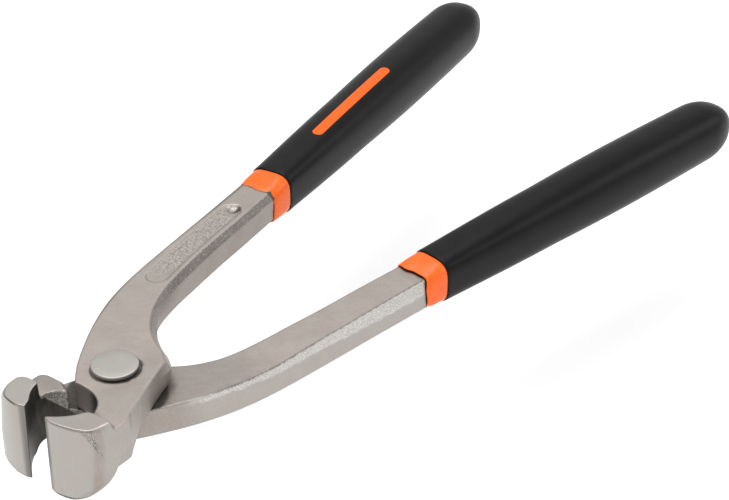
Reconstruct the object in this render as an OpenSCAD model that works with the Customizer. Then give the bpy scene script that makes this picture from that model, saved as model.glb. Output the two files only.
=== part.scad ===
// End-cutting pincers with two stacked forged levers, one rivet and two-layer handle covers.
// Origin: centre of the rivet, on the plane where the two levers meet.
// +X points along the tool from the rivet to the handles, +Z along the rivet. Millimetres.

/* [Levers] */
// Thickness of each lever at the joint
cheek_t = 8.2; // [6:0.1:10]
// How far each handle shank passes the joint plane, so that both handles come nearly level
shank_drop = 1; // [0:0.1:2.5]
// Width of the handle shank at the collar
shank_w = 11.4; // [9:0.1:14]
// Gap between the joint plane and each lever's rubbing face
face_gap = 0.05; // [0.02:0.01:0.1]
// Depth of the sunk panel along the shank's outer face
panel_depth = 0.4; // [0.2:0.1:0.8]

/* [Jaws] */
// Width of the jaws along the rivet's direction, which is the length of the cutting edges
jaw_w = 22.6; // [18:0.2:30]
// Distance from the rivet's centre to the cutting edges
cut_reach = 28.2; // [26:0.1:30]
// Opening between the cutting edges in the stored pose
bite_gap = 6.5; // [2:0.1:10]
// Radius of the barrel that rounds the backs of both jaws
barrel_r = 18; // [17:0.1:20]
// Radius that each jaw's root keeps clear round the rivet, past the other lever's cheek
swing_r = 13; // [12:0.1:14]

/* [Rivet] */
// Shank diameter of the rivet
rivet_d = 8; // [6:0.1:10]
// Radial running clearance of the rivet in the upper lever
rivet_clear = 0.04; // [0.02:0.01:0.08]
// Diameter of each rivet head
head_d = 12.2; // [10:0.1:14]
// Height of each rivet head over the lever's outer face
head_h = 1.1; // [0.8:0.1:2]

/* [Handles] */
// Distance from the rivet to the front edge of the coloured collar, along X
collar_x = 88.7; // [80:0.1:95]
// Visible length of the collar
collar_l = 7.6; // [5:0.1:12]
// Length of the black grip, from the collar to its closed end
grip_l = 131; // [100:1:150]
// Angle of each handle from the tool's long axis
handle_angle = 8.8; // [6:0.1:12]
// Height of the handle's centre line over the joint plane
handle_z = 3.25; // [2:0.05:5]
// Width of the steel tang inside the handle
tang_w = 8.4; // [6:0.1:9]
// Thickness of the steel tang inside the handle
tang_t = 7; // [5:0.1:7.5]
// Wall of the inner sleeve round the tang
sleeve_wall = 1.2; // [0.8:0.1:1.6]

/* [Hidden] */
$fn = 64;

collar_y = 27.8;                    // y of the handle's centre line at the collar's front edge
socket_l = 5;                       // how far the full shank reaches into the collar
tang_l = socket_l + 112;            // tang's end, from the collar's front edge
sleeve_l = collar_l + 114;          // sleeve's closed end, from the collar's front edge
cut = [-sqrt(pow(cut_reach, 2) - pow(bite_gap / 2, 2)), -bite_gap / 2];
blend_x = 30;                       // the shank starts to pass the joint plane here
blend_l = 24;                       // and has passed it in full this much further on
head_neck_r = head_d / 2 - 0.9;     // groove under the rivet's head
head_edge = 0.75;                   // height of the head's visible edge
barrel_y = -0.6;                    // the barrel's axis, a little towards this lever's own side
barrel_z = 1.5;
root_x = -6;                        // where the jaw's root leaves the joint plane
root_drop = 5.7;                    // how far the root reaches past the joint plane
root_top_x = -10.4;                 // edge of the root's end face, towards the rivet
lobe_x = -18.8;                     // back of the full-width part of the jaw, halfway up its slant
lobe_slant = 0.9;
panel_half = 3;                     // half width of the sunk panel
grip_cap = 14;                      // length of the grip's round end
curve_steps = 6;                    // straight pieces between two points of a smooth curve
grip_sides = 32;
eps = 0.01;

// Smooth curve through points p, as a Catmull-Rom spline.
function spline_at(a, b, c, d, t) =
    0.5 * (2 * b + (c - a) * t + (2 * a - 5 * b + 4 * c - d) * t * t
           + (3 * b - a - 3 * c + d) * t * t * t);
function smooth(p) = concat(
    [for (i = [0:len(p) - 2], k = [0:curve_steps - 1])
        spline_at(p[max(i - 1, 0)], p[i], p[i + 1], p[min(i + 2, len(p) - 1)], k / curve_steps)],
    [p[len(p) - 1]]);

// Ends of the shank, square to the handle's direction, just inside the collar.
along = [cos(handle_angle), sin(handle_angle)];
across = [-along[1], along[0]];
shank_end = [collar_x, collar_y] + socket_l * along;

// Outer side of the upper lever, from the cheek's front corner to the collar.
outer_side = smooth(concat(
    [[-10.6, 3.8], [-7.9, 6.3], [-4, 9.2], [2, 13], [11, 18], [22, 22.6], [34, 25.8], [50, 28.3],
     [70, 31]],
    [shank_end + shank_w / 2 * across]));
// Inner side, from the collar back to the cheek's rear corner.
inner_side = smooth(concat(
    [shank_end - shank_w / 2 * across],
    [[75, 20], [60, 18], [46, 15.6], [36, 13.3], [28, 10.8], [22.3, 8], [18.4, 4.8], [15.2, 0.6],
     [12.6, -4.4], [10.2, -8]]));
// Straight lower edge of the cheek, as far as the jaw's back.
cheek_edge = [[-3.8, -13.1], [-11.2, -16]];
// Back and ground front of the jaw, down to the cutting edge.
jaw_front = smooth([[-13.6, -17.3], [-16.5, -17.9], [-19.5, -17.5], [-22.5, -16.5], [-25.2, -14.8],
                    [-27.2, -12.3], [-28.3, -9.2], [-28.7, -5.8], cut]);
// Hollow mouth behind the cutting edge, back to the cheek's front corner.
mouth = smooth([cut, [-24, -6.3], [-20.5, -8.3], [-17, -8.6], [-14.3, -7.3], [-12.2, -4.9],
                [-10.9, -1.7], [-10.6, 1.8], [-10.6, 3.8]]);

// Outline of the whole upper lever, seen along the rivet.
module lever_outline() polygon(concat(outer_side, inner_side, cheek_edge, jaw_front, mouth));

// Keeps only the part of a plan shape beyond x.
module beyond(x) intersection() {
    children();
    translate([x, -100]) square([400, 200]);
}

// Thick flat half of the lever, on its own side of the joint plane.
module lever_plate() intersection() {
    translate([0, 0, face_gap]) linear_extrude(cheek_t - face_gap) lever_outline();
    union() {
        jaw_barrel();
        translate([-14, -60, -50]) cube([200, 120, 100]);
    }
}

// Barrel shape that rounds the back of the jaw and its root, lying along the tool.
module jaw_barrel() {
    translate([0, barrel_y, barrel_z]) rotate([0, 90, 0])
        cylinder(r = barrel_r, h = 80, center = true, $fn = 96);
}

// Endless bar along Y whose section, in X and Z, is the given outline.
module bar_along_y(section) {
    translate([0, 50, 0]) rotate([90, 0, 0]) linear_extrude(100) polygon(section);
}

// Endless bar along X whose section, in Y and Z, is the given outline.
module bar_along_x(section) {
    translate([-50, 0, 0]) rotate([90, 0, 90]) linear_extrude(100) polygon(section);
}

// Full-width front of the jaw, which spans both levers.
module jaw_head() intersection() {
    translate([0, 0, -jaw_w / 2]) linear_extrude(jaw_w) lever_outline();
    jaw_barrel();
    bar_along_y([[lobe_x + lobe_slant, -root_drop], [lobe_x - lobe_slant, -jaw_w / 2], [-60, -jaw_w / 2],
                 [-60, jaw_w / 2], [lobe_x - lobe_slant, jaw_w / 2], [lobe_x + lobe_slant, cheek_t]]);
}

// Root behind the jaw, which crosses the joint plane outside the other lever's cheek.
module root() difference() {
    intersection() {
        translate([0, 0, -root_drop]) linear_extrude(root_drop + cheek_t) lever_outline();
        jaw_barrel();
        bar_along_y(concat(smooth([[root_x, 0], [-8.4, -2.4], [-9.6, -4.4], [root_top_x, -root_drop]]),
                           [[lobe_x - 1, -root_drop], [lobe_x - 1, cheek_t], [root_x, cheek_t]]));
        bar_along_x([[-15.7, -root_drop], [-17.2, -4.2], [-30, -4.2], [-30, cheek_t],
                     [30, cheek_t], [30, -root_drop]]);
    }
    translate([0, 0, -50 + face_gap]) cylinder(r = swing_r, h = 50, $fn = 96);
}

// Part of the shank that passes the joint plane, with a ramp where it starts.
module shank_belly() intersection() {
    translate([0, 0, -shank_drop]) linear_extrude(cheek_t) beyond(blend_x) lever_outline();
    translate([0, 100, 0]) rotate([90, 0, 0]) linear_extrude(200)
        polygon([[blend_x, cheek_t / 2], [blend_x, face_gap], [blend_x + blend_l, -shank_drop],
                 [200, -shank_drop], [200, cheek_t / 2]]);
}

// Moves children to the handle's own frame: x along the handle from the collar's front edge.
module on_handle() {
    translate([collar_x, collar_y, handle_z]) rotate([0, 0, handle_angle]) children();
}

// Steel tang inside the covers.
module tang() on_handle() {
    flat_bar(socket_l - 1, tang_l, tang_w, tang_t);
}

// Flat bar along X from one x to another, with a round far end.
module flat_bar(from_x, to_x, width, thick) {
    translate([from_x, -width / 2, -thick / 2]) cube([to_x - from_x - width / 2, width, thick]);
    translate([to_x - width / 2, 0, -thick / 2]) cylinder(d = width, h = thick);
}

// Long sunk panel on the shank's outer face, with round ends.
module panel() translate([0, 0, cheek_t - panel_depth]) linear_extrude(5) {
    line = smooth([[38.4, 20], [50, 22.6], [62, 24.6], [76.6, 26.6]]);
    n = len(line) - 1;
    side = [for (i = [0:n]) let (d = line[min(i + 1, n)] - line[max(i - 1, 0)])
        panel_half * [-d[1], d[0]] / norm(d)];
    polygon(concat([for (i = [0:n]) line[i] + side[i]], [for (i = [n:-1:0]) line[i] - side[i]]));
    for (i = [0, n]) translate(line[i]) circle(r = panel_half, $fn = 32);
}

module lever(bore_r) difference() {
    union() {
        lever_plate();
        jaw_head();
        root();
        shank_belly();
        tang();
    }
    translate([0, 0, -1]) cylinder(r = bore_r, h = cheek_t + 2);
    panel();
}

// The two levers are the same forging, turned over about the tool's long axis.
module upper_lever() color("silver") lever(rivet_d / 2 + rivet_clear);
module lower_lever() color("lightgray") rotate([180, 0, 0]) lever(rivet_d / 2);

// One end of the rivet: groove, then a flat disc with a bevelled edge. gap lifts it off the lever.
module rivet_head(gap) {
    bevel = 0.2;
    translate([0, 0, cheek_t + gap]) cylinder(r = head_neck_r, h = head_h - gap);
    translate([0, 0, cheek_t + head_h - head_edge]) cylinder(d = head_d, h = head_edge - bevel);
    translate([0, 0, cheek_t + head_h - bevel]) cylinder(d1 = head_d, d2 = head_d - 2.5 * bevel, h = bevel);
}

module pivot_rivet() color("gainsboro") {
    translate([0, 0, -cheek_t - eps]) cylinder(d = rivet_d, h = 2 * cheek_t + 2 * eps + face_gap);
    rivet_head(face_gap);
    rotate([180, 0, 0]) rivet_head(0);
}

// Closed solid through superellipse sections [x, half width, half height, exponent].
function ring(s) = [for (k = [0:grip_sides - 1]) let (a = 360 * k / grip_sides, c = cos(a), d = sin(a))
    [s[0], s[1] * sign(c) * pow(abs(c), 2 / s[3]), s[2] * sign(d) * pow(abs(d), 2 / s[3])]];
module loft(sections) {
    n = grip_sides;
    last = len(sections) - 1;
    polyhedron(
        points = [for (s = sections) each ring(s)],
        faces = concat(
            [[for (k = [0:n - 1]) k]],
            [for (i = [0:last - 1], k = [0:n - 1]) let (a = i * n, b = a + n, m = (k + 1) % n)
                each [[a + k, b + k, b + m], [a + k, b + m, a + m]]],
            [[for (k = [n - 1:-1:0]) last * n + k]]),
        convexity = 4);
}

// Coloured inner sleeve: the collar that shows, and the thin wall hidden in the grip.
module sleeve() difference() {
    on_handle() {
        loft([[0, 6, 5.3, 6], [1, 6.15, 5.6, 5.5], [collar_l, 6.6, 6.6, 4.5]]);
        sleeve_tail();
    }
    lever_plate();
    shank_belly();
    tang();
}

// Hidden part of the sleeve, which fills the grip's cavity.
module sleeve_tail() {
    flat_bar(collar_l - 1, sleeve_l, tang_w + 2 * sleeve_wall, tang_t + 2 * sleeve_wall);
}

// Black grip: swells towards the end and closes in a round cap.
module grip() difference() {
    on_handle() loft(concat(
        [for (k = [0:14]) grip_section(k / 14 * (grip_l - grip_cap), 1)],
        [for (a = [12:12:84])
            grip_section(grip_l - grip_cap + grip_cap * sin(a) / sin(84), pow(cos(a), 0.85))]));
    on_handle() sleeve_tail();
}

// Rise from 0 at the mouth to 1 at peak, then a slow fall, for t from 0 to 1 along the grip.
function swell(t, peak) = pow(sin(min(t, peak) / peak * 90), 1.1) - pow(max(0, t - peak), 1.5);

// Section of the grip at distance x from its mouth: its place, half width, half height, squareness.
function grip_section(x, shrink) = let (t = x / grip_l)
    [collar_l + x, (6.8 + 2.1 * swell(t, 0.72)) * shrink, (7 + 2.5 * swell(t, 0.6)) * shrink,
     4 - 1.6 * min(1, t / 0.35)];

module upper_sleeve() color("darkorange") sleeve();
module lower_sleeve() color("orange") rotate([180, 0, 0]) sleeve();
module upper_grip() color("dimgray") grip();
module lower_grip() color("darkslategray") rotate([180, 0, 0]) grip();

upper_lever();
lower_lever();
pivot_rivet();
upper_sleeve();
lower_sleeve();
upper_grip();
lower_grip();
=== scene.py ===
"""End-cutting pincers: two forged levers on one rivet, with orange collars and black grips.

Every piece is made in millimetres in the upper lever's own frame, which is the CAD frame, and
scaled to metres. The lower lever's pieces are the same shapes turned over about the X axis.
"""
import math

import bpy
import numpy as np
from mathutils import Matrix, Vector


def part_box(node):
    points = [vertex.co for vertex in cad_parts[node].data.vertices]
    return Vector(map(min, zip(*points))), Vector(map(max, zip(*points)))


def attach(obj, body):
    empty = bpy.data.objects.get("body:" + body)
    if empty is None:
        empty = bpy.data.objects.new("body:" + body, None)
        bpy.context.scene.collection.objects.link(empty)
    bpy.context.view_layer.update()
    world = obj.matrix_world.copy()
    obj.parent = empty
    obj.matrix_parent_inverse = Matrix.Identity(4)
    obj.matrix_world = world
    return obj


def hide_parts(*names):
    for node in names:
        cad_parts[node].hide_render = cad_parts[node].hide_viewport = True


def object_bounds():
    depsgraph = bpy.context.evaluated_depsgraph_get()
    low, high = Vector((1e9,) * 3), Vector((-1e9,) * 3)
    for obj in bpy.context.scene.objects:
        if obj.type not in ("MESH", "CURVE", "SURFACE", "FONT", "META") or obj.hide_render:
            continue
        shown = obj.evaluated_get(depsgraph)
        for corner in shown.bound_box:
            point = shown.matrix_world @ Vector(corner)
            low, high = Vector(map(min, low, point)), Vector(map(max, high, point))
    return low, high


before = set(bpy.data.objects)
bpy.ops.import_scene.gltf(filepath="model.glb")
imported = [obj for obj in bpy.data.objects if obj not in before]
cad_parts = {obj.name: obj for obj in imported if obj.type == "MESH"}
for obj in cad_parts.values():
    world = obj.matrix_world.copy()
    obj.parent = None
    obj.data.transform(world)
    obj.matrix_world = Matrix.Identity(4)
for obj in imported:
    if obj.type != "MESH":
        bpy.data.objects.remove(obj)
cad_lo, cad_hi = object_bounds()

import openvdb
from mathutils import Matrix, Vector

MM = 0.001
TURN_OVER = Matrix.Rotation(math.pi, 4, "X")
rng = np.random.default_rng(7)


# ---------------------------------------------------------------- sizes taken from the frame
def box_mm(node):
    """Lowest and highest corner of a CAD node, in millimetres."""
    lo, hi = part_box(node)
    return np.array(lo) / MM, np.array(hi) / MM


def points_mm(node):
    """Vertices of a CAD node, in millimetres."""
    return np.array([v.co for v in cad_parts[node].data.vertices], float) / MM


lever_lo, lever_hi = box_mm("upper_lever")
rivet_hi = box_mm("pivot_rivet")[1]
JAW_HALF = lever_hi[2]                  # the cutting edges run from -JAW_HALF to JAW_HALF
HEAD_R = rivet_hi[0]
HEAD_TOP = rivet_hi[2]
HEAD_H = 1.1                            # how far the rivet's head stands over the cheek
CHEEK_T = HEAD_TOP - HEAD_H             # thickness of one lever at the joint
FACE_GAP = 0.05                         # from the joint plane to each lever's rubbing face
PIN_R = 4.0                             # the rivet's shank
BORE_R = PIN_R + 0.04                   # the lever's hole, with its running clearance

# The upper handle is a straight line. Its direction is the long axis of the grip's vertices.
grip_points = points_mm("upper_grip")
grip_centre = grip_points.mean(0)
handle_dir = np.linalg.svd(grip_points - grip_centre, full_matrices=False)[2][0]
handle_dir = handle_dir * np.sign(handle_dir[0]) * [1, 1, 0]
handle_dir /= np.linalg.norm(handle_dir)
handle_side = np.array([-handle_dir[1], handle_dir[0], 0])
grip_along = (grip_points - grip_centre) @ handle_dir
collar_along = (points_mm("upper_sleeve") - grip_centre) @ handle_dir
handle_start = grip_centre + handle_dir * collar_along.min()
COLLAR_L = grip_along.min() - collar_along.min()
GRIP_L = grip_along.max() - grip_along.min()
SLEEVE_L = collar_along.max() - collar_along.min()
TANG_L = SLEEVE_L - COLLAR_L + 3        # the tang ends inside the sleeve's closed end
HANDLE = Matrix.Translation(handle_start) @ Matrix(
    [[handle_dir[0], handle_side[0], 0, 0], [handle_dir[1], handle_side[1], 0, 0],
     [0, 0, 1, 0], [0, 0, 0, 1]])


# ---------------------------------------------------------------- the lever's outline
def spline(points, steps=8):
    """Smooth curve through the points, as a Catmull-Rom spline."""
    p = np.array(points, float)
    q = np.vstack([p[:1], p, p[-1:]])
    t = np.linspace(0, 1, steps, endpoint=False)[:, None]
    parts = [0.5 * (2 * b + (c - a) * t + (2 * a - 5 * b + 4 * c - d) * t**2
                    + (3 * b - a - 3 * c + d) * t**3)
             for a, b, c, d in zip(q, q[1:], q[2:], q[3:])]
    return np.vstack(parts + [p[-1:]])


SHANK_W = 11.4                          # width of the bar where it enters the collar
SOCKET_L = 5                            # how far the full bar reaches into the collar
BITE_HALF = 3.25                        # from the middle plane to each cutting edge
BITE_IN = 0.69                          # from the jaw's front to its cutting edge
shank_end = (handle_start + SOCKET_L * handle_dir)[:2]
outer_end = shank_end + SHANK_W / 2 * handle_side[:2]
inner_end = shank_end - SHANK_W / 2 * handle_side[:2]
cut = np.array([lever_lo[0] + BITE_IN, -BITE_HALF])
outer_side = spline([[-10.6, 3.8], [-7.9, 6.3], [-4, 9.2], [2, 13], [11, 18], [22, 22.6],
                     [34, 25.7], [50, 28.2], [70, 30.9], outer_end])
inner_side = spline([inner_end, [75, 20], [60, 18], [46, 15.6], [36, 13.3], [28, 10.8],
                     [22.3, 8], [18.4, 4.8], [15.2, 0.6], [12.6, -4.4], [10.2, -8]])
jaw_back = spline([[-11.2, -16], [-13.6, -17.3], [-16.5, -17.9], [-19.5, -17.5], [-22.5, -16.5],
                   [-25.2, -14.8], [-27.2, -12.3], [-28.3, -9.2], [-28.7, -5.8], cut])
mouth = spline([cut, [-24, -6.9], [-20.5, -8.6], [-17, -8.6], [-14.3, -7.3], [-12.2, -4.9],
                [-10.9, -1.7], [-10.6, 1.8], [-10.6, 3.8]])
outline = np.vstack([outer_side, inner_side, [[-3.8, -13.1]], jaw_back[:-1], mouth[:-1]])


def outline_distance(x, y, poly):
    """Signed distance to a closed outline, negative inside."""
    best = np.full(x.shape, 1e9)
    inside = np.zeros(x.shape, bool)
    for (ax, ay), (bx, by) in zip(poly, np.roll(poly, -1, axis=0)):
        ex, ey = bx - ax, by - ay
        length = ex * ex + ey * ey
        if length < 1e-12:
            continue
        dx, dy = x - ax, y - ay
        t = np.clip((dx * ex + dy * ey) / length, 0, 1)
        best = np.minimum(best, (dx - t * ex) ** 2 + (dy - t * ey) ** 2)
        if ay != by:
            inside ^= ((ay > y) != (by > y)) & (x < ex * (y - ay) / ey + ax)
    return np.where(inside, -1, 1) * np.sqrt(best)


def collar_front(angle):
    """Where the collar's uneven front edge lies along the handle, at an angle round it."""
    return 0.15 + 0.36 * np.sin(3 * angle - 1.5) + 0.12 * np.sin(7 * angle)


# ---------------------------------------------------------------- shaping helpers
def smoothstep(a, b, v):
    """Smooth change from 0 where v is a to 1 where v is b."""
    t = np.clip((v - a) / (b - a), 0, 1)
    return t * t * (3 - 2 * t)


def both(a, b, r):
    """Intersection of two shapes, with its edge rounded to radius r."""
    u, v = np.maximum(a + r, 0), np.maximum(b + r, 0)
    return np.minimum(-r, np.maximum(a, b)) + np.sqrt(u * u + v * v)


def either(a, b, r):
    """Union of two shapes, with a fillet of radius r."""
    return -both(-a, -b, r)


# Value noise on a lattice, for forged and stippled surfaces.
lattice = rng.random((32, 32, 32)) * 2 - 1


def noise(x, y, z, size):
    """Smooth noise from -1 to 1 with bumps of about the given size."""
    total = 0
    q = [np.asarray(c, float) / size + 100 for c in (x, y, z)]
    i = [np.floor(c).astype(int) for c in q]
    f = [(c - k) ** 2 * (3 - 2 * (c - k)) for c, k in zip(q, i)]
    for a in (0, 1):
        for b in (0, 1):
            for c in (0, 1):
                weight = ((f[0] if a else 1 - f[0]) * (f[1] if b else 1 - f[1])
                          * (f[2] if c else 1 - f[2]))
                total = total + weight * lattice[(i[0] + a) % 32, (i[1] + b) % 32, (i[2] + c) % 32]
    return total


# ---------------------------------------------------------------- the lever's solid
BARREL_R, BARREL_Y, BARREL_Z = 18.0, -0.6, 1.5      # rounds the jaw's outer side, along X
SWING_R = 13.0                                      # kept clear for the other lever's cheek
ROOT_DROP, ROOT_REACH = 5.7, 16.4                   # root's reach below the joint and outward
LOBE_X, LOBE_SLANT = -18.6, 0.5                     # back of the jaw's full-width part
SHANK_DROP = 1.0                                    # how far the bar passes the joint plane
END_FALL, END_FALL_START = 0.08, -28.6              # slope of the jaw's upper end face

# The sunk panel runs along this line of the bar's outer face, and ends in a round dimple.
panel_line = spline([[37.4, 19.8], [50, 22.4], [62, 24.3], [74.5, 26]], 6)
PANEL_HALF, PANEL_DEPTH = 3.1, 0.4
DIMPLE_X, DIMPLE_Y, DIMPLE_R = 76.0, 26.0, 2.3

# The middle of the bar, to tell its inner side from its outer side.
mid_x = np.linspace(12, outer_end[0], 24)
mid_y = (np.interp(mid_x, outer_side[:, 0], outer_side[:, 1])
         + np.interp(mid_x, inner_side[::-1, 0], inner_side[::-1, 1])) / 2


def path_distance(x, y, line):
    """Distance to an open line."""
    best = np.full(np.broadcast(x, y).shape, 1e9)
    for (ax, ay), (bx, by) in zip(line, line[1:]):
        ex, ey = bx - ax, by - ay
        t = np.clip(((x - ax) * ex + (y - ay) * ey) / (ex * ex + ey * ey), 0, 1)
        best = np.minimum(best, (x - ax - t * ex) ** 2 + (y - ay - t * ey) ** 2)
    return np.sqrt(best)


def bar_bottom(x):
    """Height of the bar's underside: the joint plane, stepping down beyond the cheek."""
    return FACE_GAP - (SHANK_DROP + FACE_GAP) * smoothstep(26, 52, x)


def wall_distance(x, y, z):
    """Distance to the upright walls: the outline, leaning at the jaw and ridged at the neck."""
    lean = 0.125 * smoothstep(-28.6, -25, x) * (1 - smoothstep(-19, -15, x))
    mouth_side = smoothstep(-13, -10, y)
    lean = lean * (np.clip(z, -JAW_HALF, 3) * mouth_side
                   + np.clip(z + 8, -3.3, 11) * (1 - mouth_side))
    ridge = np.clip(np.minimum(1 - (z - 5) / 3.2, 1 - (5 - z) / 6), 0, 1) \
        * smoothstep(5, 14, x) * (1 - smoothstep(20, 32, x)) * smoothstep(13, 7, y)
    return flat_distance(x, y + lean) - 1.7 * ridge


def corner(distance, r):
    """How far an end face gives way where it meets a side, for a corner of radius r in plan."""
    return r - np.sqrt(r * r - np.clip(r + distance, 0, r) ** 2)


def bevel(wall, depth, across, down):
    """A flat bevel that takes away `across` from a face and `down` from the wall under it."""
    return (down * (wall + across) + across * depth) / np.hypot(across, down)


def bevel_widths(x):
    """Width taken from the face by the inner top bevel and by the outer bottom one."""
    inner_top = 0.12 + 1.2 * smoothstep(17, 38, x)
    outer_bottom = 0.15 + 0.3 * smoothstep(8, 30, x) + 0.6 * smoothstep(50, 92, x)
    return inner_top, outer_bottom


def lever_body(x, y, z):
    """Signed distance of the lever before its fine details, and to its walls and jaw ends."""
    wall = wall_distance(x, y, z)
    radius = np.sqrt(x * x + y * y)
    above = smoothstep(6, 11, z)
    barrel = np.sqrt((y - BARREL_Y) ** 2 + (z - BARREL_Z) ** 2) - BARREL_R \
        - 0.8 * above * smoothstep(-27, -20, x)
    ends = np.abs(z) - JAW_HALF + END_FALL * np.clip(x - END_FALL_START, 0, 11) * above
    # Seen from the side: the cheek and bar, the jaw's full width, the root under the joint plane.
    slab = np.maximum(z - CHEEK_T, bar_bottom(x) - z)
    round_jaw = both(wall, barrel - 40 * smoothstep(-15, -6, x),
                     0.6 + 2.0 * smoothstep(-6, -11, z))
    lobe_end = LOBE_X - LOBE_SLANT * (np.abs(z) - 8.5) / 2.8
    corners = np.maximum(corner(barrel, 1.9 - above), corner(wall, 1 + 1.7 * above))
    jaw = both(ends, x - lobe_end + corners, 0.35)
    foot = x - (-10.2 + 3.6 * np.clip(1 + z / ROOT_DROP, 0, 1) ** 1.6) \
        + corner(-y - ROOT_REACH, 3.5)
    root = both(both(foot, -ROOT_DROP - z, 0.45), -y - ROOT_REACH, 1.6)
    root = np.maximum(both(root, SWING_R - radius, 0.8), z - 5)
    seen = either(either(slab, jaw, 1.1 + 1.9 * smoothstep(-13, -9, y)), root, 0.7)
    # Cut to the outline and to the barrel that rounds the jaw's outer side.
    at_jaw = 1 - smoothstep(-19, -16, x)
    lever = both(seen, wall, 0.3 + at_jaw * (0.15 * smoothstep(-26, -22, x) - 0.12))
    round_edge = 0.15 + 0.35 * above * smoothstep(-25, -22, x)
    lever = np.where(x < -6, both(lever, round_jaw, round_edge), lever)
    # The bar's long bevels, steep and unequal.
    inner = y < np.interp(x, mid_x, mid_y)
    inner_top, outer_bottom = bevel_widths(x)
    outer_top = 0.1 + 0.55 * smoothstep(4, 40, x)
    inner_down = (1.8 - 0.3 * smoothstep(45, 65, x)) * inner_top
    top, bottom = z - CHEEK_T, bar_bottom(x) - z
    bevels = np.where(inner, np.maximum(bevel(wall, top, inner_top, inner_down),
                                        bevel(wall, bottom, outer_top, outer_top)),
                      np.maximum(bevel(wall, top, outer_top, 1.6 * outer_top),
                                 bevel(wall, bottom, outer_bottom, 3.2)))
    lever = both(lever, bevels - 20 * (1 - smoothstep(-4, 6, x)), 0.15)
    # Nothing of the lever is left inside the other cheek's swing below the joint plane.
    lever = np.maximum(lever, -np.maximum(radius - SWING_R, z - FACE_GAP))
    # Shallow seat round the rivet's head, worn wider towards the jaw, and the rivet's hole.
    worn = np.sqrt((x + 0.1) ** 2 + (y + 0.3) ** 2) - HEAD_R - 0.4 - 0.2 * noise(x, y, z, 1.7)
    lever = both(lever, -both(worn, CHEEK_T - 0.3 - z, 0.2), 0.2)
    return both(lever, BORE_R - radius, 0.15), wall, ends


def panel_shape(x, y, z):
    """Distance to the sunk panel and its round dimple, and to the panel's border in plan."""
    away = path_distance(x, y, panel_line) - PANEL_HALF
    pebble = 0.045 * noise(x, y, z, 0.75) * smoothstep(0, -0.8, away) * smoothstep(36, 46, x)
    panel = both(away, CHEEK_T - PANEL_DEPTH + pebble - z, 0.3)
    dimple = np.sqrt((x - DIMPLE_X) ** 2 + (y - DIMPLE_Y) ** 2 + (z - CHEEK_T - 2) ** 2) \
        - np.hypot(DIMPLE_R, 2)
    return either(panel, dimple, 0.1), away


def root_span(x):
    """1 where the root's mouth wall is, between the jaw and the joint."""
    return smoothstep(-18.6, -17.9, x) * smoothstep(-10.6, -11.6, x)


def rough_patches(x, y, z, wall, ends):
    """The two stippled patches: behind the jaw's ground face, and on the root's mouth wall."""
    left = -23.3 - 0.4 * (z - 2)
    right = -23.1 - 0.2 * (z - 2)
    behind = smoothstep(left - 0.15, left + 0.15, x) * smoothstep(right + 0.3, right - 0.3, x) \
        * smoothstep(1.5, 3, z) * smoothstep(-11.5, -13, y) * smoothstep(0.3, 0.7, -ends)
    near_mouth = smoothstep(-3.2, -4.2, y) * smoothstep(-11, -10, y) * root_span(x)
    over = smoothstep(0.2, -0.2, z - (1.05 * (x + 18) - 6.0))
    patch = near_mouth * over * smoothstep(-0.5, -0.1, wall) * smoothstep(-5.55, -5.3, z)
    return behind, patch


def outline_table(step):
    """A function that looks up the outline's distance in a fine grid of it."""
    (x0, y0), (x1, y1) = outline.min(0) - 4, outline.max(0) + 4
    xs, ys = np.arange(x0, x1, step), np.arange(y0, y1, step)
    table = outline_distance(*np.meshgrid(xs, ys, indexing="ij"), outline)

    def look_up(x, y):
        u = np.clip((x - x0) / step, 0, len(xs) - 1.001)
        v = np.clip((y - y0) / step, 0, len(ys) - 1.001)
        i, j = u.astype(int), v.astype(int)
        u, v = u - i, v - j
        return ((table[i, j] * (1 - u) + table[i + 1, j] * u) * (1 - v)
                + (table[i, j + 1] * (1 - u) + table[i + 1, j + 1] * u) * v)
    return look_up


flat_distance = outline_table(0.12)


def lever_distance(x, y, z):
    """Signed distance of the finished lever, for arrays of points."""
    lever, wall, ends = lever_body(x, y, z)
    behind, patch = rough_patches(x, y, z, wall, ends)
    lever = lever + 0.09 * (behind + patch) * (noise(x, y, z, 0.7) + 0.6)
    # The forged bar is a little uneven.
    lever = lever + 0.02 * noise(x, y, z, 1.3) * smoothstep(-12, -6, x)
    return both(lever, -panel_shape(x, y, z)[0], 0.15)


def mesh_from_distance(name, distance, lo, hi, step):
    """Closed mesh of the zero surface of a distance function, with exact vertices and normals."""
    axes = [np.arange(lo[k], hi[k] + step, step) for k in range(3)]
    values = np.empty([len(a) for a in axes], np.float32)
    chunk = 24
    for i in range(0, len(axes[0]), chunk):
        x, y, z = np.meshgrid(axes[0][i:i + chunk], axes[1], axes[2], indexing="ij")
        values[i:i + chunk] = distance(x, y, z)
    grid = openvdb.FloatGrid(float(step * 3))
    grid.copyFromArray(values)
    points, quads = grid.convertToQuads(isovalue=0.0)
    p = points.astype(float) * step + lo

    def slope(q):
        h = 0.02
        return np.stack([distance(*(q + shift).T) - distance(*(q - shift).T)
                         for shift in h * np.eye(3)], 1) / (2 * h)

    for _ in range(2):
        g = slope(p)
        move = distance(*p.T)[:, None] * g / np.maximum((g * g).sum(1, keepdims=True), 0.2)
        p -= np.clip(move, -0.5 * step, 0.5 * step)
    normals = slope(p)
    normals /= np.maximum(np.linalg.norm(normals, axis=1, keepdims=True), 1e-9)
    faces = quads[:, ::-1] if faces_point_in(p, quads, normals) else quads
    return smooth_mesh(name, p, faces.tolist()), p, normals


def faces_point_in(p, quads, normals):
    """True if the faces' winding disagrees with the surface normals."""
    a, b, c = p[quads[:, 0]], p[quads[:, 1]], p[quads[:, 2]]
    return (np.cross(b - a, c - a) * normals[quads[:, 0]]).sum() < 0


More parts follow.
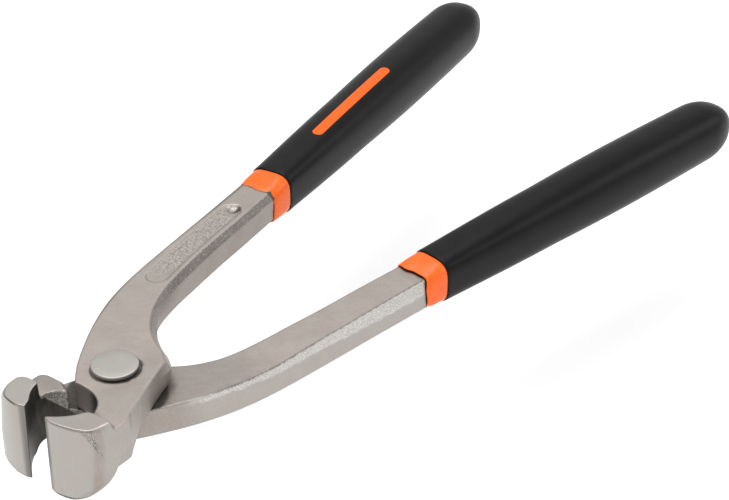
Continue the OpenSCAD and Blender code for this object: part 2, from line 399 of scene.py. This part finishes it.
def smooth_mesh(name, points, faces, matrix=Matrix.Identity(4)):
    """Smooth-shaded mesh from points in millimetres, moved by matrix to the frame."""
    mesh = bpy.data.meshes.new(name)
    mesh.from_pydata(points.tolist(), [], faces)
    mesh.transform(Matrix.Scale(MM, 4) @ matrix)
    mesh.polygons.foreach_set("use_smooth", np.ones(len(mesh.polygons), bool))
    mesh.update()
    return mesh


def set_zone(mesh, name, values):
    """Stores one number per vertex for the materials to read."""
    mesh.attributes.new(name, "FLOAT", "POINT").data.foreach_set("value", values.astype(np.float32))


GRID = 0.32
lo = np.array([lever_lo[0] - 0.6, lever_lo[1] - 0.6, -JAW_HALF - 0.6])
hi = np.array([shank_end[0] + 2, outer_end[1] + 1.5, JAW_HALF + 0.6])
lever_mesh, lever_p, lever_n = mesh_from_distance("lever", lever_distance, lo, hi, GRID)
px, py, pz = lever_p.T
nx, ny, nz = lever_n.T
wall, ends = lever_body(px, py, pz)[1:]
behind, patch = rough_patches(px, py, pz, wall, ends)
radius = np.hypot(px, py)
steep = np.abs(nz)
upright = smoothstep(0.75, 0.5, steep)
inner = smoothstep(0.5, -0.5, py - np.interp(px, mid_x, mid_y))

# The jaw's ground front and ends.
front = smoothstep(-24.6, -25.4, px) * smoothstep(0.15, 0.5, -nx) * smoothstep(-2.5, -4.0, py)
end_face = smoothstep(-0.25, -0.1, ends) * smoothstep(0.8, 0.95, steep)

# Painted shade in the mouth, and painted shade and dirt on the joint plane where the other lever
# covers it and close beside it.
in_mouth = smoothstep(-10.0, -11.0, px) * smoothstep(0.1, 0.5, ny)
beside_other = smoothstep(3.4, 0.2, flat_distance(px, -py))
joint_plane = smoothstep(-0.7, -0.9, nz) * smoothstep(0.9, 0.5, np.abs(pz)) \
    * np.maximum(smoothstep(14, 12.6, radius), 0.8 * beside_other)
painted_shade_and_dirt = np.clip(in_mouth + joint_plane, 0, 1) * (1 - patch) * (1 - end_face)

# Painted highlight on the root's edge at the mouth, between the stippled patch and the joint face.
rim = smoothstep(0.75, 0.35, pz + ROOT_DROP) * smoothstep(0.1, 0.4, ny) \
    * smoothstep(0.9, 0.7, steep) * root_span(px)

# Painted shadow and dirt in the seat round the rivet's head.
seat_shadow_and_dirt = smoothstep(0.8, 0.1, radius - HEAD_R - 0.5 - 0.5 * noise(px, py, pz, 1.3)) \
    * smoothstep(2.0, -3.5, py) * smoothstep(CHEEK_T - 0.7, CHEEK_T - 0.5, pz) \
    * smoothstep(HEAD_R - 0.6, HEAD_R - 0.3, radius)

# Narrow lines of painted shade: round the jaw's end faces, beside the outer bevels, and at the
# collar.
end_line = smoothstep(0.5, 0.3, np.abs(ends + 0.2)) * smoothstep(0.98, 0.85, steep) \
    * smoothstep(-24.3, -25, px) * smoothstep(-4.0, -7.4, py) * np.where(pz > 0, 0.6, 1)
bar_line = smoothstep(0.55, 0.2, np.abs(wall + bevel_widths(px)[1] + 0.2)) \
    * smoothstep(0.6, 0.8, steep) * smoothstep(8, 20, px) * (1 - inner)
from_start = lever_p - handle_start
round_start = np.arctan2(from_start[:, 2], from_start @ handle_side)
past_front = from_start @ handle_dir - collar_front(round_start)

# Painted shade close to the joint: on the bar's joint side, and on the cheek near the jaw.
joint_shade = smoothstep(-18, -13, px) * (0.28 * smoothstep(-0.7, -0.9, nz) * smoothstep(70, 12, px)
                                  + 0.15 * smoothstep(0.7, 0.9, nz) * smoothstep(0, -7, py))

# The bar's bevels and walls: painted shade on the inner bevels and the neck, painted light on the
# outer wall and the jaw's flank.
dark_bevel = smoothstep(0.22, 0.38, nz) * smoothstep(0.85, 0.65, nz) * smoothstep(26, 38, px)
dark_neck = 0.75 * smoothstep(0.8, 0.6, steep) * smoothstep(1.5, 5.5, pz) \
    * smoothstep(12, 16, px) * smoothstep(44, 32, px)
outer_wall = upright * smoothstep(6, 14, px) * (1 - inner)
strip = 1.4 + 2.4 * smoothstep(15, 75, px) + 0.4 * noise(px, py, pz, 1.5)
flank = smoothstep(-23.5, -22, px) * smoothstep(8, 4, px) * smoothstep(-10.5, -13, py) \
    * (1 - behind) * upright

# The sunk panel's floor, and the shaded side of its dimple.
away = panel_shape(px, py, pz)[1]
panel_floor = smoothstep(0.1, -0.4, away) * smoothstep(CHEEK_T - 0.12, CHEEK_T - 0.25, pz) \
    * smoothstep(CHEEK_T - 1.4, CHEEK_T - 1.2, pz) * smoothstep(34, 44, px)
in_dimple = smoothstep(0.15, -0.25, np.hypot(px - DIMPLE_X, py - DIMPLE_Y) - DIMPLE_R) \
    * smoothstep(CHEEK_T - 0.05, CHEEK_T - 0.3, pz) \
    * smoothstep(CHEEK_T - 1.7, CHEEK_T - 1.4, pz) * smoothstep(-0.05, 0.3, ny)

for zone, values in {
        "ground": front + end_face,
        "patch": np.clip(0.75 * behind + patch, 0, 1) * (1 - rim),
        "painted_shade_and_dirt": painted_shade_and_dirt * (1 - rim),
        "line": end_line + 0.6 * bar_line + 0.8 * seat_shadow_and_dirt + joint_shade,
        "dark_bevel": np.maximum(dark_bevel, dark_neck) * inner,
        "painted_lit_bevel": outer_wall * smoothstep(-0.5, 0.3, bar_bottom(px) - pz + strip),
        "painted_light": 0.6 * outer_wall + 0.6 * flank + rim,
        "pebbled": panel_floor,
        "dimple": in_dimple}.items():
    set_zone(lever_mesh, zone, np.clip(values, 0, 1))


# ---------------------------------------------------------------- pieces from rings of points
def superellipse(count, half_w, half_h, power):
    """Closed ring in the Y-Z plane."""
    a = np.linspace(0, 2 * np.pi, count, endpoint=False)
    c, s = np.cos(a), np.sin(a)
    return np.stack([half_w * np.sign(c) * np.abs(c) ** (2 / power),
                     half_h * np.sign(s) * np.abs(s) ** (2 / power)], 1)


def bar_ring(count, half_w, half_h, power, bevels):
    """Closed ring in the Y-Z plane: a superellipse, cut by the bar's bevels as bevels nears 1."""
    a = np.linspace(0, 2 * np.pi, count, endpoint=False)
    c, s = np.cos(a), np.sin(a)
    half_w = half_w + 0.35 * bevels * (c > 0)
    reach = (np.abs(c / half_w) ** power + np.abs(s / half_h) ** power) ** (-1 / power)
    for across, up, distance in ((-0.79, 0.61, 6.2), (0.85, 0.53, 7.2), (0.95, -0.31, 6.5)):
        limit = (distance + 3 * (1 - bevels)) / np.maximum(across * c + up * s, 0.05)
        reach = (reach**-14 + limit**-14) ** (-1 / 14)
    return np.column_stack([reach * c, reach * s])


def at(s, ring):
    """A ring placed at s along X, where s is one number or one for each point."""
    return np.column_stack([np.broadcast_to(s, len(ring)), ring])


def ring_solid(name, skin, cavity, matrix, tips=None):
    """Closed solid through rings of points along X, in millimetres, moved by matrix.

    Each ring goes anticlockwise about X. The skin's rings go along +X from the mouth to its closed
    end, and the cavity's from its own closed end back to the mouth. With no cavity the skin is
    closed at both ends. tips are the middle points of the skin's closed end and of the other."""
    rings = skin + cavity
    count, far = len(skin[0]), len(skin) - 1
    near = far + 1 if cavity else 0
    if tips is None:
        tips = [skin[far].mean(0), skin[near].mean(0)]
    joins = [(i, i + 1) for i in range(len(rings) - 1) if i != far]
    if cavity:
        joins.append((len(rings) - 1, 0))
    now = np.arange(count)
    after = (now + 1) % count
    faces = []
    for i, j in joins:
        corners = [i * count + now, i * count + after, j * count + after, j * count + now]
        faces += np.column_stack(corners).tolist()
    tip = np.full(count, len(rings) * count)
    faces += np.column_stack([tip, far * count + now, far * count + after]).tolist()
    faces += np.column_stack([tip + 1, near * count + after, near * count + now]).tolist()
    return smooth_mesh(name, np.vstack(rings + [tips]), faces, matrix)


def swell(t, peak):
    """Rise from 0 at the grip's mouth to 1 at peak, then a slow fall."""
    return np.sin(min(t, peak) / peak * math.pi / 2) ** 1.1 - max(0, t - peak) ** 1.5


def build_grip():
    """Black cover: a swelling tube with a lip at its mouth, a round end and the sleeve's hole."""
    cap, sides = 14.0, 64

    def ring(s, section_s, inset=0, shrink=1):
        t = section_s / GRIP_L
        w, h = 6.8 + 2.1 * swell(t, 0.72) - inset, 7 + 2.5 * swell(t, 0.6) - inset
        power = 3.4 - 1.0 * min(1, t / 0.35)
        return at(COLLAR_L + s, superellipse(sides, w * shrink, h * shrink, power))

    skin = [ring(s, 0, inset) for s, inset in
            ((0.5, 1.25), (0.12, 0.75), (0.0, 0.35), (0.12, 0.1), (0.4, 0.0))]
    skin += [ring(s, s) for s in np.linspace(1.2, GRIP_L - cap, 34)]
    for a in np.radians(np.linspace(6, 88.5, 16)):
        s = GRIP_L - cap + cap * math.sin(a)
        skin.append(ring(s, s, 0, math.cos(a) ** 0.85))
    tail = SLEEVE_L - COLLAR_L
    cavity = [at(COLLAR_L + s, superellipse(sides, 5.45 * k, 4.75 * k, 7)) for s, k in
              ((tail, 0.05), (tail, 0.5), (tail - 0.4, 0.85), (tail - 1.5, 1), (1, 1))]
    return ring_solid("grip", skin, cavity, HANDLE, [[COLLAR_L + GRIP_L, 0, 0], [SLEEVE_L, 0, 0]])


def build_collar(shift):
    """Coloured collar and its hidden sleeve: a tube with an uneven edge, closed in the grip."""
    sides = 128
    edge = collar_front(np.linspace(0, 2 * np.pi, sides, endpoint=False)) + shift

    def ring(s, half_w, half_h, power, uneven):
        return at(s + uneven * edge, bar_ring(sides, half_w, half_h, power, uneven))

    skin = [ring(*stop) for stop in (
        (0.4, 5.72, 4.66, 8, 1), (0.06, 5.8, 4.8, 7, 1), (0.0, 5.92, 4.98, 7, 1),
        (0.14, 6.02, 5.12, 6.5, 1), (0.5, 6.1, 5.25, 6, 1), (1.3, 6.18, 5.45, 5.5, 0.8),
        (2.8, 6.34, 5.85, 4.6, 0.3), (4.6, 6.5, 6.25, 3.9, 0),
        (COLLAR_L - 0.5, 6.66, 6.6, 3.4, 0), (COLLAR_L - 0.12, 6.62, 6.56, 3.4, 0),
        (COLLAR_L - 0.02, 6.4, 6.35, 3.5, 0), (COLLAR_L, 5.6, 5.2, 5, 0),
        (COLLAR_L + 0.6, 5.4, 4.7, 7, 0), (COLLAR_L + 4, 5.4, 4.7, 7, 0),
        (SLEEVE_L - 1.5, 5.4, 4.7, 7, 0), (SLEEVE_L - 0.3, 5.0, 4.4, 6, 0),
        (SLEEVE_L - 0.02, 4.0, 3.6, 5, 0), (SLEEVE_L, 2.0, 1.8, 3, 0))]
    cavity = [ring(*stop) for stop in (
        (TANG_L + 0.1, 2.0, 1.8, 3, 0), (TANG_L + 0.05, 4.15, 3.45, 8, 0),
        (TANG_L - 0.5, 4.25, 3.55, 9, 0), (6.2, 4.25, 3.55, 9, 0), (5.2, 4.25, 3.55, 9, 0),
        (5.1, 5.6, 4.5, 8, 0), (0.9, 5.6, 4.55, 8, 1))]
    return ring_solid("collar", skin, cavity, HANDLE, [[SLEEVE_L, 0, 0], [TANG_L + 0.1, 0, 0]])


def build_tang():
    """Steel tang inside the covers, from inside the shank to its round end."""
    stops = [(3.5, 1), (TANG_L - 3, 1), (TANG_L - 1.2, 0.93), (TANG_L - 0.3, 0.75), (TANG_L, 0.4)]
    rings = [at(s, superellipse(64, 4.2 * k, 3.5 * (0.7 + 0.3 * k), 9)) for s, k in stops]
    return ring_solid("tang", rings, [], HANDLE)


def build_rivet():
    """Turned rivet: two flat heads with a soft rim, the neck under each, and the shank."""
    half = [(3.0, HEAD_TOP), (5.8, HEAD_TOP - 0.01), (5.95, HEAD_TOP - 0.03),
            (6.08, HEAD_TOP - 0.1), (HEAD_R, HEAD_TOP - 0.22), (HEAD_R, HEAD_TOP - 0.9),
            (HEAD_R - 0.12, HEAD_TOP - 1.06), (5.6, HEAD_TOP - 1.12), (5.2, HEAD_TOP - 1.16),
            (5.1, CHEEK_T - 0.12), (5.05, CHEEK_T - 0.26), (4.6, CHEEK_T - 0.29),
            (PIN_R, CHEEK_T - 0.31), (PIN_R, 3.0)]
    profile = [(r, -z) for r, z in half] + half[::-1]
    rings = [at(z, superellipse(128, r, r, 2)) for r, z in profile]
    x_to_z = Matrix(((0, 1, 0, 0), (0, 0, 1, 0), (1, 0, 0, 0), (0, 0, 0, 1)))
    return ring_solid("rivet", rings, [], x_to_z)


# ---------------------------------------------------------------- materials
class Maker:
    """Adds nodes to one material and links them."""

    def __init__(self, name):
        self.material = bpy.data.materials.new(name)
        self.material.use_nodes = True
        self.tree = self.material.node_tree
        self.shader = self.tree.nodes["Principled BSDF"]

    def node(self, kind, inputs=None, **settings):
        made = self.tree.nodes.new(kind)
        for key, value in settings.items():
            setattr(made, key, value)
        for key, value in (inputs or {}).items():
            self.put(made.inputs[key], value)
        return made

    def put(self, socket, value):
        if isinstance(value, bpy.types.NodeSocket):
            self.tree.links.new(value, socket)
        elif isinstance(value, bpy.types.Node):
            self.tree.links.new(value.outputs[0], socket)
        else:
            socket.default_value = value

    def set(self, **inputs):
        for key, value in inputs.items():
            self.put(self.shader.inputs[key.replace("_", " ")], value)

    def position(self):
        return self.node("ShaderNodeTexCoord").outputs["Object"]

    def noise(self, size_mm, detail, stretch=(1, 1, 1)):
        mapped = self.node("ShaderNodeMapping", {"Vector": self.position(), "Scale": stretch})
        return self.node("ShaderNodeTexNoise", {"Vector": mapped, "Scale": 1 / (size_mm * MM),
                                                "Detail": detail}).outputs["Fac"]

    def zone(self, name):
        return self.node("ShaderNodeAttribute", attribute_name=name).outputs["Fac"]

    def mix(self, factor, a, b):
        made = self.node("ShaderNodeMix", data_type="RGBA")
        self.put(made.inputs[0], factor)
        self.put(made.inputs[6], a)
        self.put(made.inputs[7], b)
        return made.outputs[2]

    def blend(self, factor, a, b):
        made = self.node("ShaderNodeMix")
        for socket, value in zip(made.inputs[:1] + made.inputs[2:4], (factor, a, b)):
            self.put(socket, value)
        return made.outputs[0]

    def math(self, operation, a, b=0.0):
        made = self.node("ShaderNodeMath", operation=operation)
        self.put(made.inputs[0], a)
        self.put(made.inputs[1], b)
        return made.outputs[0]

    def length(self, a, b):
        squares = self.math("MULTIPLY", a, a), self.math("MULTIPLY", b, b)
        return self.math("SQRT", self.math("ADD", *squares))

    def axes(self, vector):
        return self.node("ShaderNodeSeparateXYZ", {"Vector": vector}).outputs

    def span(self, value, lo, hi, to_lo=0.0, to_hi=1.0):
        values = {0: value, 1: lo, 2: hi, 3: to_lo, 4: to_hi}
        return self.node("ShaderNodeMapRange", values).outputs[0]

    def bump(self, height, strength, distance_mm):
        return self.node("ShaderNodeBump", {"Height": height, "Strength": strength,
                                            "Distance": distance_mm * MM}).outputs[0]


def lever_steel():
    """Forged steel, coloured by the zones stored on the lever's vertices."""
    m = Maker("lever_steel")
    grain, fine, cloud = m.noise(0.45, 4), m.noise(0.25, 2), m.noise(7, 3)
    speck = m.span(fine, 0.42, 0.6)
    # Plain forged steel, in two close shades with a darker grain.
    base = m.mix(m.span(cloud, 0.35, 0.65), (0.335, 0.293, 0.268, 1), (0.36, 0.327, 0.298, 1))
    base = m.mix(m.span(grain, 0.35, 0.7, 0, 0.5), base, (0.285, 0.252, 0.23, 1))
    # Each zone's colour, from the broad zones to the narrow ones over them; some zones are the
    # steel's own finish and texture, others painted light and painted shade.
    tint = m.mix(m.span(m.noise(9, 2), 0.4, 0.6), (0.37, 0.333, 0.308, 1), (0.36, 0.35, 0.32, 1))
    base = m.mix(m.zone("ground"), base, tint)
    # Painted light on the outer walls, the jaw's flank and the root's edge at the mouth.
    base = m.mix(m.zone("painted_light"), base, (0.42, 0.395, 0.37, 1))
    # Painted shade in the mouth, with painted shade and dirt on the joint plane.
    shadow = m.mix(m.span(m.noise(1.1, 4, (1, 1, 0.25)), 0.35, 0.7),
                   (0.035, 0.032, 0.028, 1), (0.062, 0.057, 0.05, 1))
    base = m.mix(m.zone("painted_shade_and_dirt"), base, shadow)
    stipple = m.mix(speck, (0.085, 0.078, 0.07, 1), (0.46, 0.43, 0.40, 1))
    base = m.mix(m.zone("patch"), base, stipple)
    pebbles = m.mix(m.span(m.noise(0.4, 2), 0.38, 0.6),
                    (0.18, 0.163, 0.147, 1), (0.44, 0.41, 0.375, 1))
    base = m.mix(m.math("MULTIPLY", m.zone("pebbled"), 0.7), base, pebbles)
    # Painted shade, speckled, on the inner bevels and the neck.
    bevel_shade = m.mix(m.span(m.noise(0.5, 3), 0.48, 0.7),
                  (0.165, 0.148, 0.136, 1), (0.32, 0.29, 0.27, 1))
    base = m.mix(m.zone("dark_bevel"), base, bevel_shade)
    # Painted glints and light on the lower strip of the outer walls.
    glints = m.mix(speck, (0.40, 0.375, 0.35, 1), (0.64, 0.62, 0.59, 1))
    base = m.mix(m.zone("painted_lit_bevel"), base, glints)
    base = m.mix(m.zone("dimple"), base, (0.09, 0.083, 0.074, 1))
    # Narrow lines of painted shade, painted shadow at the collar's edge and in the rivet's seat,
    # with dirt there.
    lines = m.math("MAXIMUM", m.zone("line"), m.zone("collar_shadow_line"))
    base = m.mix(lines, base, (0.085, 0.08, 0.072, 1))
    # The ground faces are smoother, and the stippled ones coarser.
    rough = m.blend(m.zone("ground"), m.span(grain, 0.3, 0.7, 0.40, 0.52), 0.36)
    coarse = m.math("MAXIMUM", m.zone("painted_lit_bevel"), m.zone("dark_bevel"))
    coarse = m.math("MAXIMUM", m.zone("patch"), coarse)
    height = m.math("ADD", grain, m.math("MULTIPLY", m.math("MULTIPLY", fine, coarse), 2.0))
    height = m.math("MULTIPLY", height, m.blend(m.zone("ground"), 1.0, 0.25))
    m.set(Base_Color=base, Metallic=0.85, Roughness=rough, Normal=m.bump(height, 0.35, 0.08))
    return m.material


def rivet_steel():
    """Smoother and a little lighter steel for the rivet."""
    m = Maker("rivet_steel")
    turned = m.noise(0.5, 3)
    base = m.mix(m.span(m.noise(4, 2), 0.35, 0.65), (0.35, 0.338, 0.31, 1), (0.37, 0.358, 0.33, 1))
    m.set(Base_Color=base, Metallic=0.85, Roughness=m.span(turned, 0.3, 0.7, 0.36, 0.44),
          Normal=m.bump(turned, 0.15, 0.03))
    return m.material


def collar_plastic():
    """Orange plastic, slightly wavy."""
    m = Maker("collar_plastic")
    base = m.mix(m.span(m.noise(3, 2), 0.35, 0.65), (0.84, 0.125, 0.006, 1), (0.80, 0.11, 0.005, 1))
    m.set(Base_Color=base, Roughness=m.span(m.noise(0.8, 2), 0.3, 0.7, 0.22, 0.30),
          Normal=m.bump(m.noise(1.6, 2), 0.25, 0.08), Specular_IOR_Level=0.3)
    return m.material


def grip_rubber():
    """Black vinyl, with a plain bar in the collar's colour on the upper grip's top face."""
    m = Maker("grip_rubber")
    grain = m.noise(0.35, 3)
    base = m.mix(m.span(m.noise(5, 3), 0.35, 0.65),
                 (0.0035, 0.0033, 0.0034, 1), (0.005, 0.0048, 0.0048, 1))
    bar_middle, bar_half, bar_aside, bar_r, bar_low = 53.5, 21, 1.7, 1.65, 2.05
    along, across, above = m.axes(m.node("ShaderNodeMapping", {
        "Vector": m.position(), "Location": handle_start * MM,
        "Rotation": (0, 0, math.atan2(handle_dir[1], handle_dir[0])), "Scale": (MM, MM, MM)},
        vector_type="TEXTURE"))
    from_middle = m.math("ABSOLUTE", m.math("SUBTRACT", along, bar_middle))
    past_end = m.math("MAXIMUM", m.math("SUBTRACT", from_middle, bar_half), 0)
    from_bar = m.length(past_end, m.math("ADD", across, bar_aside))
    printed = m.math("MULTIPLY", m.span(from_bar, bar_r + 0.05, bar_r - 0.05),
                     m.span(above, bar_low - 0.05, bar_low + 0.05))
    base = m.mix(printed, base, (0.80, 0.11, 0.01, 1))
    m.set(Base_Color=base, Roughness=m.span(grain, 0.3, 0.7, 0.32, 0.40),
          Normal=m.bump(grain, 0.25, 0.05), Specular_IOR_Level=0.13)
    return m.material


def floor_paint():
    """Plain pale floor."""
    m = Maker("floor_paint")
    m.set(Base_Color=(0.93, 0.93, 0.93, 1), Roughness=0.7)
    return m.material


# ---------------------------------------------------------------- the pieces
def add_piece(name, mesh, body, node, material, turned=False):
    """Shows a mesh as a piece of a body, in place of a CAD node, turned over if asked."""
    piece = bpy.data.objects.new(name, mesh)
    bpy.context.scene.collection.objects.link(piece)
    mesh.materials.append(material)
    if turned:
        mesh.transform(TURN_OVER)
        mesh.update()
    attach(piece, body)
    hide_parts(node)


steel, plastic, rubber = lever_steel(), collar_plastic(), grip_rubber()
# The upper collar sits 0.8 mm nearer to the joint than the lower one.
for side, collar_shift in (("upper", -0.8), ("lower", 0.0)):
    half, turned = f"{side}_half", side == "lower"
    forging = lever_mesh.copy()
    # Painted shadow line on the steel where the collar's edge meets it.
    set_zone(forging, "collar_shadow_line", smoothstep(-0.4, -0.1, past_front - collar_shift))
    add_piece(f"{side}_lever_forging", forging, half, f"{side}_lever", steel, turned)
    add_piece(f"{side}_tang", build_tang(), half, f"{side}_lever", steel, turned)
    add_piece(f"{side}_collar", build_collar(collar_shift), half, f"{side}_sleeve",
              plastic, turned)
    add_piece(f"{side}_grip_cover", build_grip(), half, f"{side}_grip", rubber, turned)
add_piece("rivet", build_rivet(), "lower_half", "pivot_rivet", rivet_steel())

# ---------------------------------------------------------------- camera, floor and light
# The camera, at the photograph's angle, and where it sees the rivet from the view's middle, in
# millimetres.
AZIMUTH, ELEVATION = math.radians(-52.53), math.radians(32.86)
RIVET_LEFT, RIVET_BELOW, RIVET_AWAY = 62.9, 36.4, 508.6
camera = bpy.data.objects.new("camera", bpy.data.cameras.new("camera"))
bpy.context.scene.collection.objects.link(camera)
camera.data.sensor_width = 36
camera.data.lens = 98.77
camera.data.clip_start, camera.data.clip_end = 0.05, 10
right = Vector((math.cos(AZIMUTH), math.sin(AZIMUTH), 0))
back = Vector((math.sin(AZIMUTH) * math.cos(ELEVATION), -math.cos(AZIMUTH) * math.cos(ELEVATION),
               math.sin(ELEVATION)))
up = back.cross(right)
camera.location = (right * RIVET_LEFT + up * RIVET_BELOW + back * RIVET_AWAY) * MM
camera.rotation_mode = "QUATERNION"
camera.rotation_quaternion = (-back).to_track_quat("-Z", "Y")
bpy.context.scene.camera = camera

# A plain floor, far enough below for the soft light to leave it white, as in the photograph.
FLOOR_HALF, FLOOR_BELOW = 3.0, 0.04
floor_z = cad_lo.z - FLOOR_BELOW
floor_mesh = bpy.data.meshes.new("floor")
floor_mesh.from_pydata([(FLOOR_HALF * i, FLOOR_HALF * j, floor_z)
                        for i, j in ((-1, -1), (1, -1), (1, 1), (-1, 1))], [], [(0, 1, 2, 3)])
floor = bpy.data.objects.new("floor", floor_mesh)
bpy.context.scene.collection.objects.link(floor)
floor_mesh.materials.append(floor_paint())


def softbox(name, place, aim, size, watts):
    """Rectangular soft light at place, facing aim, both in metres."""
    light = bpy.data.lights.new(name, "AREA")
    light.shape = "RECTANGLE"
    light.size, light.size_y = size
    light.energy = watts
    obj = bpy.data.objects.new(name, light)
    bpy.context.scene.collection.objects.link(obj)
    obj.location = place
    obj.rotation_mode = "QUATERNION"
    obj.rotation_quaternion = (Vector(aim) - Vector(place)).to_track_quat("-Z", "Y")


centre = (cad_lo + cad_hi) / 2
softbox("overhead", centre + Vector((0.1, 0.2, 0.9)), centre, (0.9, 0.7), 6.5)
softbox("front_left", centre + Vector((-0.9, -0.3, 0.5)), centre, (0.5, 0.5), 2.5)
softbox("far_right", centre + Vector((0.7, -0.7, 0.45)), centre, (0.6, 0.4), 1.5)

world = bpy.data.worlds.new("studio")
bpy.context.scene.world = world
world.use_nodes = True
background = world.node_tree.nodes["Background"].inputs
background["Color"].default_value = (1, 1, 1, 1)
background["Strength"].default_value = 0.8
bpy.context.scene.view_settings.view_transform = "Standard"
